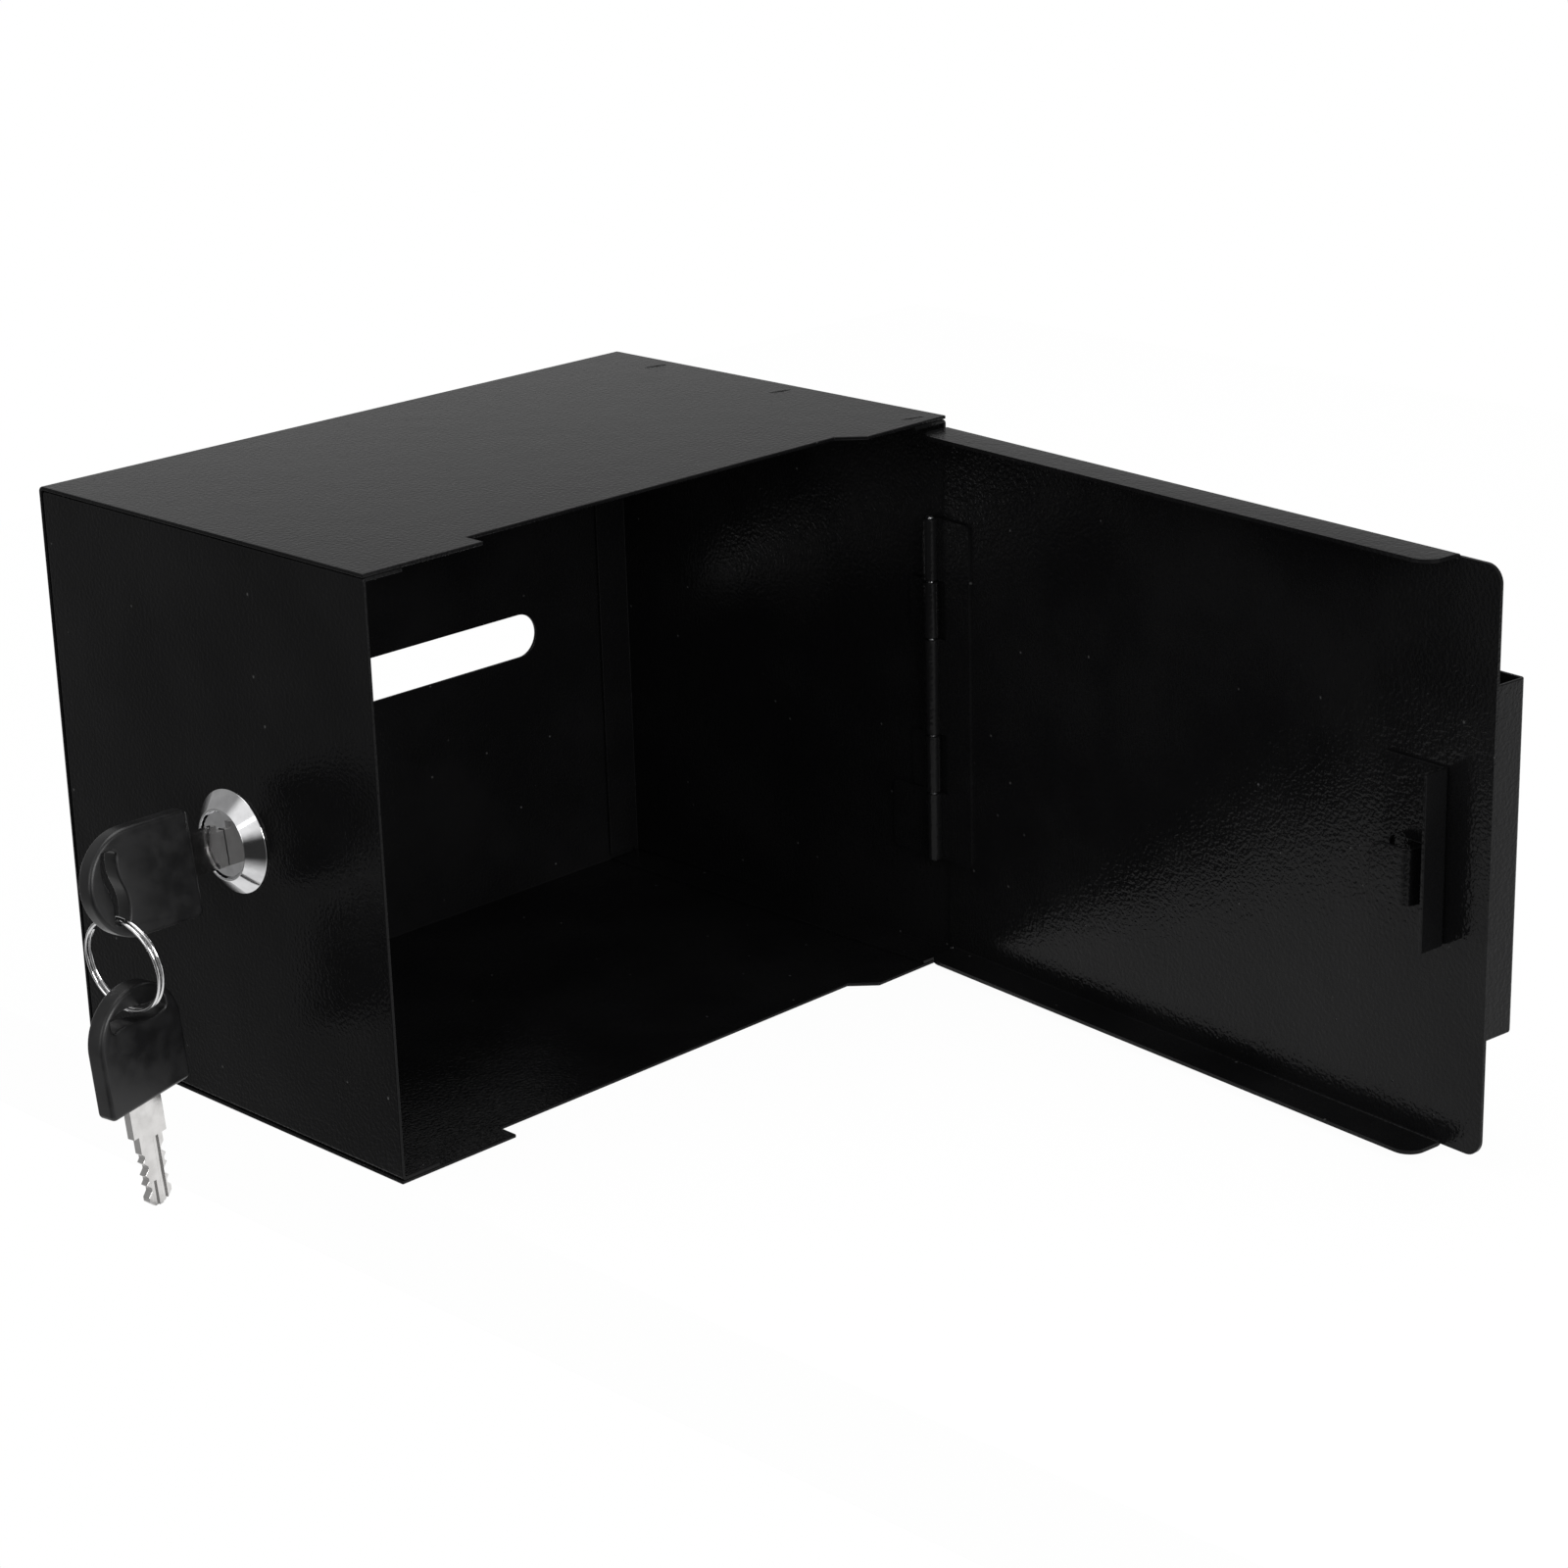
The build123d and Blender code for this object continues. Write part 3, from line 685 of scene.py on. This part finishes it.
@dataclass
class Case:
    """The wrap, the two end panels, the fixed hinge leaf, the pin and the weld beads on the top."""

    sheet_edge: float = 0.30 * MM
    leaf_edge: float = 0.14 * MM
    pin_edge: float = 0.10 * MM
    weld_first: Triple = (93.4 * MM, 40.6 * MM, 154.98 * MM)
    weld_step: Span = (-0.7 * MM, -50.4 * MM)
    weld_size: Triple = (3.6 * MM, 0.5 * MM, 0.17 * MM)
    weld_turn: float = -17.0
    weld_count: int = 3
    bead_sides: int = 20
    bead_rings: int = 10

    def weld_tree(self, shop: Workshop) -> bpy.types.NodeTree:
        """A row of low oval beads where the top is welded to the end panel's flange.

        Args:
            shop: where the finish comes from.

        Returns:
            The tree.
        """
        names = ("Length", "Width", "Rise", "Turn", "Side Step", "Back Step")
        graph, inputs = geometry_tree("weld beads", names, "Count")
        length, width, rise, turn, side, back, count = inputs
        round_ball = {"Segments": self.bead_sides, "Rings": self.bead_rings, "Radius": 1.0}
        ball = graph.out("MeshUVSphere", {}, round_ball, "Mesh")
        oval = graph.out("Transform", {}, {"Geometry": ball, "Scale": graph.point(length, width, rise)})
        bead = graph.out("Transform", {}, {"Geometry": oval, "Rotation": graph.point(0.0, 0.0, turn)})
        beads = in_a_row(graph, bead, count, graph.point(side, back, 0.0), (0.0, 0.0, 0.0))
        return close_tree(graph, beads, shop.materials[Slot.BLACK_PAINT])

    def build(self, shop: Workshop) -> None:
        """Makes the case's pieces.

        Args:
            shop: where finishes and pieces come from.
        """
        for node in ("case_wrap", "lock_side_panel", "hinge_side_panel"):
            shop.soften(node, self.sheet_edge, Body.CASE, Slot.BLACK_PAINT)
        shop.soften("hinge_body_leaf", self.leaf_edge, Body.CASE, Slot.BLACK_PAINT)
        shop.soften("hinge_pin", self.pin_edge, Body.CASE, Slot.ZINC_STEEL)
        length, width, rise = self.weld_size
        side, back = self.weld_step
        beads = shop.grown("top_weld_beads", self.weld_tree(shop), {
            "Length": length, "Width": width, "Rise": rise, "Turn": radians(self.weld_turn),
            "Side Step": side, "Back Step": back, "Count": self.weld_count},
            Matrix.Translation(self.weld_first))
        shop.settle(beads, Body.CASE, Slot.BLACK_PAINT)


@dataclass
class Door:
    """The door panel, its card pocket, the catch bracket and the swinging leaf."""

    sheet_edge: float = 0.30 * MM
    leaf_edge: float = 0.14 * MM

    def build(self, shop: Workshop) -> None:
        """Makes the door's pieces.

        Args:
            shop: where finishes and pieces come from.
        """
        for node in ("door_panel", "card_pocket", "catch_bracket"):
            shop.soften(node, self.sheet_edge, Body.DOOR, Slot.BLACK_PAINT)
        shop.soften("hinge_door_leaf", self.leaf_edge, Body.DOOR, Slot.BLACK_PAINT)


@dataclass
class Lock:
    """The lock's fixed parts and its turning core."""

    tilt: float = -8.5
    edge: float = 0.12 * MM
    thread_start: float = 5.4 * MM
    thread_stop: float = 25.2 * MM
    thread_radius: float = 9.42 * MM
    thread_pitch: float = 1.0 * MM
    thread_rise: float = 0.42 * MM
    thread_sides: int = 4
    thread_points: int = 1400
    flat: float = 7.93 * MM
    wafer_count: int = 5
    wafer_first: float = 1.75 * MM
    wafer_pitch: float = 2.8 * MM
    spring_side: float = 4.8 * MM
    spring_low: float = -1.9 * MM
    spring_length: float = 3.4 * MM
    spring_radius: float = 0.36 * MM
    spring_wire: float = 0.09 * MM
    spring_turns: float = 7.0
    spring_sides: int = 6
    turn_points: int = 14

    @property
    def place(self) -> Matrix:
        """Where the lock's axis meets the panel's outer face."""
        return Matrix.Translation(Hinge.LOCK_TURN.at)

    @property
    def core_place(self) -> Matrix:
        """The same, turned with the key."""
        return self.place @ Matrix.Rotation(radians(self.tilt), 4, "X")

    def thread_tree(self, shop: Workshop) -> bpy.types.NodeTree:
        """A screw thread that stops at the barrel's two flats.

        Args:
            shop: where the finish comes from.

        Returns:
            The tree.
        """
        names = ("Start", "Length", "Radius", "Pitch", "Rise", "Flat")
        graph, inputs = geometry_tree("barrel thread", names, "Points")
        start, length, radius, pitch, rise, flat, points = inputs

        def along(share: Value) -> tuple[Value, Value, Value]:
            """A point of the helix, by the share of the way."""
            angle = share * length / pitch * FULL_TURN
            return (start + share * length, radius * angle.sine(), radius * angle.cosine())

        ridge = wound(graph, points, along, rise, self.thread_sides)
        axes = graph.node("SeparateXYZ", {}, {"Vector": graph.out("InputPosition")})
        x, y, z = (Value(graph, socket) for socket in axes.outputs)
        kept = graph.point(x, y.least(flat).most(flat * -1), z)
        cut = graph.out("SetPosition", {}, {"Geometry": ridge, "Position": kept})
        return close_tree(graph, cut, shop.materials[Slot.LOCK_CHROME])

    def spring_tree(self, shop: Workshop) -> bpy.types.NodeTree:
        """A row of small coil springs, one for each wafer.

        Args:
            shop: where the finish comes from.

        Returns:
            The tree.
        """
        names = ("First", "Pitch", "Side", "Low", "Length", "Radius", "Wire", "Turns")
        graph, inputs = geometry_tree("wafer springs", names, "Count")
        first, pitch, side, low, length, radius, wire, turns, count = inputs

        def along(share: Value) -> tuple[Value, Value, Value]:
            """A point of the coil, by the share of the way."""
            angle = share * turns * FULL_TURN
            return (radius * angle.cosine(), radius * angle.sine(), share * length)

        coil = wound(graph, turns * self.turn_points, along, wire, self.spring_sides)
        coils = in_a_row(graph, coil, count, graph.point(pitch, 0.0, 0.0), graph.point(first, side, low))
        return close_tree(graph, coils, shop.materials[Slot.ZINC_STEEL])

    def build(self, shop: Workshop) -> None:
        """Makes the lock's pieces.

        Args:
            shop: where finishes and pieces come from.
        """
        shop.soften("lock_body", self.edge, Body.CASE, Slot.LOCK_CHROME)
        for node in ("lock_washer", "lock_nut"):
            shop.soften(node, self.edge, Body.CASE, Slot.ZINC_STEEL)
        shop.soften("lock_plug", self.edge, Body.CORE, Slot.LOCK_CHROME)
        for node in ("lock_cam", "cam_washer", "cam_screw"):
            shop.soften(node, self.edge, Body.CORE, Slot.ZINC_STEEL)
        shop.coat_node("plug_wafers", Slot.WAFER_BRASS)
        thread = shop.grown("barrel_thread", self.thread_tree(shop), {
            "Start": self.thread_start, "Length": self.thread_stop - self.thread_start,
            "Radius": self.thread_radius, "Pitch": self.thread_pitch, "Rise": self.thread_rise,
            "Flat": self.flat, "Points": self.thread_points}, self.place)
        shop.settle(thread, Body.CASE, Slot.LOCK_CHROME)
        springs = shop.grown("wafer_coils", self.spring_tree(shop), {
            "First": self.wafer_first, "Pitch": self.wafer_pitch, "Side": self.spring_side,
            "Low": self.spring_low, "Length": self.spring_length, "Radius": self.spring_radius,
            "Wire": self.spring_wire, "Turns": self.spring_turns, "Count": self.wafer_count}, self.core_place)
        shop.settle(springs, Body.CORE, Slot.ZINC_STEEL, "wafer_springs")


@dataclass
class Keys:
    """The key in the lock, the split ring and the spare key."""

    metal_edge: float = 0.12 * MM
    head_edge: float = 0.15 * MM
    ring_radius: float = 12.15 * MM
    ring_wire: float = 0.45 * MM
    ring_pitch: float = 1.35 * MM
    ring_first: float = 8.0
    ring_climb: float = 60.0
    ring_sides: int = 20
    ring_points: int = 360

    @property
    def ring_place(self) -> Matrix:
        """The ring's plane: its X up, its Z along the ring's axis, the spare key's pivot at its foot."""
        normal, side = Hinge.RING_SWING.axis, Hinge.SPARE_SWING.axis
        up = normal.cross(side)
        centre = Hinge.SPARE_SWING.at + up * self.ring_radius
        return Matrix.Translation(centre) @ Matrix((up, -side, normal)).transposed().to_4x4()

    def ring_tree(self, shop: Workshop) -> bpy.types.NodeTree:
        """Two turns of wire side by side, with one climb between them.

        Args:
            shop: where the finish comes from.

        Returns:
            The tree.
        """
        names = ("Radius", "Wire", "Pitch", "First", "Climb")
        graph, inputs = geometry_tree("split ring winding", names, "Points")
        radius, wire, pitch, first, climb, points = inputs
        turn = FULL_TURN - climb

        def along(share: Value) -> tuple[Value, Value, Value]:
            """A point of the wire's line, by the share of the way."""
            angle = share * (turn * 2 + climb)
            way = ((angle - turn) / climb).eased(0.0, 1.0)
            return (radius * (angle + first).cosine(), radius * (angle + first).sine(), pitch * (way - 0.5))

        winding = wound(graph, points, along, wire, self.ring_sides)
        return close_tree(graph, winding, shop.materials[Slot.RING_NICKEL])

    def build(self, shop: Workshop) -> None:
        """Makes both keys and the ring.

        Args:
            shop: where finishes and pieces come from.
        """
        for prefix, body in (("key", Body.KEY), ("spare_key", Body.SPARE)):
            shop.soften(prefix + "_blade", self.metal_edge, body, Slot.KEY_NICKEL)
            shop.soften(prefix + "_head", self.head_edge, body, Slot.KEY_PLASTIC)
        ring = shop.grown("split_ring_winding", self.ring_tree(shop), {
            "Radius": self.ring_radius, "Wire": self.ring_wire, "Pitch": self.ring_pitch,
            "First": radians(self.ring_first), "Climb": radians(self.ring_climb),
            "Points": self.ring_points}, self.ring_place)
        shop.settle(ring, Body.RING, Slot.RING_NICKEL, "split_ring")


@dataclass(frozen=True)
class Lamp:
    """A soft rectangular lamp: where it hangs, what it points at, its width and height, its watts."""

    name: str
    at: Triple
    aim: Triple
    size: Span
    power: float

    def hang(self) -> None:
        """Puts the lamp into the scene."""
        data = bpy.data.lights.new(self.name, "AREA")
        data.shape = "RECTANGLE"
        data.size, data.size_y = self.size
        data.energy = self.power
        lamp = bpy.data.objects.new(self.name, data)
        lamp.location = self.at
        lamp.rotation_euler = (Vector(self.aim) - Vector(self.at)).to_track_quat("-Z", "Y").to_euler()
        bpy.context.scene.collection.objects.link(lamp)


@dataclass(frozen=True)
class Patch:
    """A lighter or darker patch of the room that gloss shows.

    It lies towards one direction, and comes in where the cosine to that direction is in its reach.
    """

    to: Triple
    reach: Span
    change: float


@dataclass
class Studio:
    """The table, the backdrop, the lamps and the camera."""

    table_low: Triple = (-100 * MM, -0.62, -0.03)
    table_high: Triple = (0.75, 0.55, 0.0)
    table_level: float = 0.86
    table_rough: float = 0.6
    table_glow: float = 0.97
    camera_at: Triple = (-0.61107, -0.71637, 0.38488)
    camera_right: Triple = (0.70299, -0.71068, -0.0272)
    camera_forward: Triple = (0.66572, 0.67102, -0.32643)
    camera_near: float = 0.01
    lens: float = 84.79
    sensor: float = 36.0
    diffuse_level: float = 0.62
    room_level: float = 0.33
    room_least: float = 0.03
    room: tuple[Patch, ...] = (
        Patch((0.50, 0.80, 0.30), (0.86, 1.0), 0.06),
        Patch((0.0, 0.0, -1.0), (0.42, 0.75), 0.50),
        Patch((-0.88, -0.05, 0.47), (0.80, 0.95), 0.65),
        Patch((-0.82, -0.47, -0.32), (0.78, 0.95), -0.32),
        Patch((-0.55, 0.77, -0.33), (0.80, 0.97), -0.10),
    )
    lamps: tuple[Lamp, ...] = (
        Lamp("overhead", (0.10, 0.10, 1.20), (0.0, 0.0, 0.10), (1.0, 1.0), 9.0),
        Lamp("front", (-0.35, -1.45, 0.62), (0.0, 0.0, 0.08), (0.9, 0.6), 14.0),
        Lamp("left", (-1.10, -0.10, 0.30), (-0.1, 0.0, 0.08), (0.25, 0.6), 1.2),
    )

    def rays(self, graph: Graph) -> tuple[Value, Value, Value]:
        """Masks of the rays that show a surface.

        Args:
            graph: the nodes.

        Returns:
            1 for camera rays, for glossy rays and for transmission rays.
        """
        path = graph.node("LightPath")
        names = ("Is Camera Ray", "Is Glossy Ray", "Is Transmission Ray")
        camera, glossy, through = (Value(graph, path.outputs[name]) for name in names)
        return camera, glossy, through

    def table(self) -> None:
        """A pale slab whose left end is level with the lock's panel, so that the keys hang past it."""
        work = bmesh.new()
        bmesh.ops.create_cube(work, size=1.0)
        for vertex in work.verts:
            sides = zip(self.table_low, self.table_high, vertex.co)
            vertex.co = Vector([low + (high - low) * (share + 0.5) for low, high, share in sides])
        mesh = bpy.data.meshes.new("table")
        work.to_mesh(mesh)
        work.free()
        slab = bpy.data.objects.new("table", mesh)
        bpy.context.scene.collection.objects.link(slab)
        material = bpy.data.materials.new("pale_table")
        graph = shader_graph(material)
        camera, glossy, through = self.rays(graph)
        seen = camera.most(glossy).most(through) * self.table_glow
        paint = graph.node("BsdfPrincipled", {}, {
            "Base Color": grey(self.table_level), "Roughness": self.table_rough})
        glow = graph.node("Emission", {}, {"Color": grey(1.0), "Strength": 1.0})
        both = graph.node("MixShader", {}, {"Fac": seen, 1: paint.outputs[0], 2: glow.outputs[0]})
        graph.node("OutputMaterial", {}, {"Surface": both.outputs[0]})
        mesh.materials.append(material)

    def world(self) -> None:
        """A white backdrop behind the box, a plain grey room for diffuse light and one for gloss."""
        world = bpy.data.worlds.new("studio")
        bpy.context.scene.world = world
        graph = shader_graph(world)
        camera, glossy, through = self.rays(graph)
        way = graph.out("TexCoord", output="Generated")
        room: Number = self.room_level
        for patch in self.room:
            facing = graph.out("VectorMath", {"operation": "DOT_PRODUCT"}, {0: way, 1: patch.to}, "Value")
            room = room + facing.eased(*patch.reach, 0.0, patch.change)
        plain = (1 - camera) * self.diffuse_level * (1 - glossy)
        level = camera.most(through).most(glossy * room.most(self.room_least)).most(plain)
        sky = graph.node("Background", {}, {"Color": grey(1.0), "Strength": level})
        graph.node("OutputWorld", {}, {"Surface": sky.outputs[0]})

    def camera(self) -> None:
        """The camera at the photograph's angle."""
        data = bpy.data.cameras.new("camera")
        data.lens = self.lens
        data.sensor_width = self.sensor
        data.sensor_fit = "HORIZONTAL"
        data.clip_start = self.camera_near
        camera = bpy.data.objects.new("camera", data)
        forward = Vector(self.camera_forward).normalized()
        right = Vector(self.camera_right).normalized()
        turn = Matrix((right, right.cross(forward), -forward)).transposed().to_4x4()
        camera.matrix_world = Matrix.Translation(self.camera_at) @ turn
        bpy.context.scene.collection.objects.link(camera)
        bpy.context.scene.camera = camera

    def build(self) -> None:
        """Sets the whole stage."""
        self.table()
        self.world()
        for lamp in self.lamps:
            lamp.hang()
        self.camera()


def finishes() -> tuple[Finish, ...]:
    """One finish for each slot.

    Returns:
        The finishes.
    """
    zinc, zinc_shade = (0.58, 0.59, 0.60), (0.47, 0.48, 0.50)
    brass, brass_shade = (0.70, 0.55, 0.28), (0.58, 0.44, 0.22)
    nickel, nickel_shade = (0.72, 0.71, 0.70), (0.60, 0.59, 0.58)
    bright, bright_shade = (0.84, 0.84, 0.84), (0.72, 0.72, 0.73)
    drawn_back, drawn_along = (1.0, 0.12, 1.0), (0.15, 1.0, 1.0)
    return (
        PowderCoat("black_powder_coat", Slot.BLACK_PAINT),
        PlatedMetal("polished_chrome", Slot.LOCK_CHROME),
        PlatedMetal("bright_zinc", Slot.ZINC_STEEL, zinc, zinc_shade, (0.22, 0.34), drawn_back),
        PlatedMetal("wafer_brass", Slot.WAFER_BRASS, brass, brass_shade, (0.20, 0.32)),
        PlatedMetal("key_nickel", Slot.KEY_NICKEL, nickel, nickel_shade, (0.08, 0.14), drawn_along),
        PlatedMetal("ring_nickel", Slot.RING_NICKEL, bright, bright_shade, (0.05, 0.10)),
        MouldedPlastic("key_head_plastic", Slot.KEY_PLASTIC),
    )


def main() -> None:
    """Builds every sub-assembly, then the stage."""
    logging.basicConfig(level=logging.INFO, format="%(message)s")
    bpy.context.scene.view_settings.view_transform = "Standard"
    shop = Workshop()
    shop.stock(*finishes())
    for assembly in (Case(), Door(), Lock(), Keys()):
        assembly.build(shop)
        log.info("%s done", type(assembly).__name__)
    Studio().build()


if __name__ == "__main__":
    main()
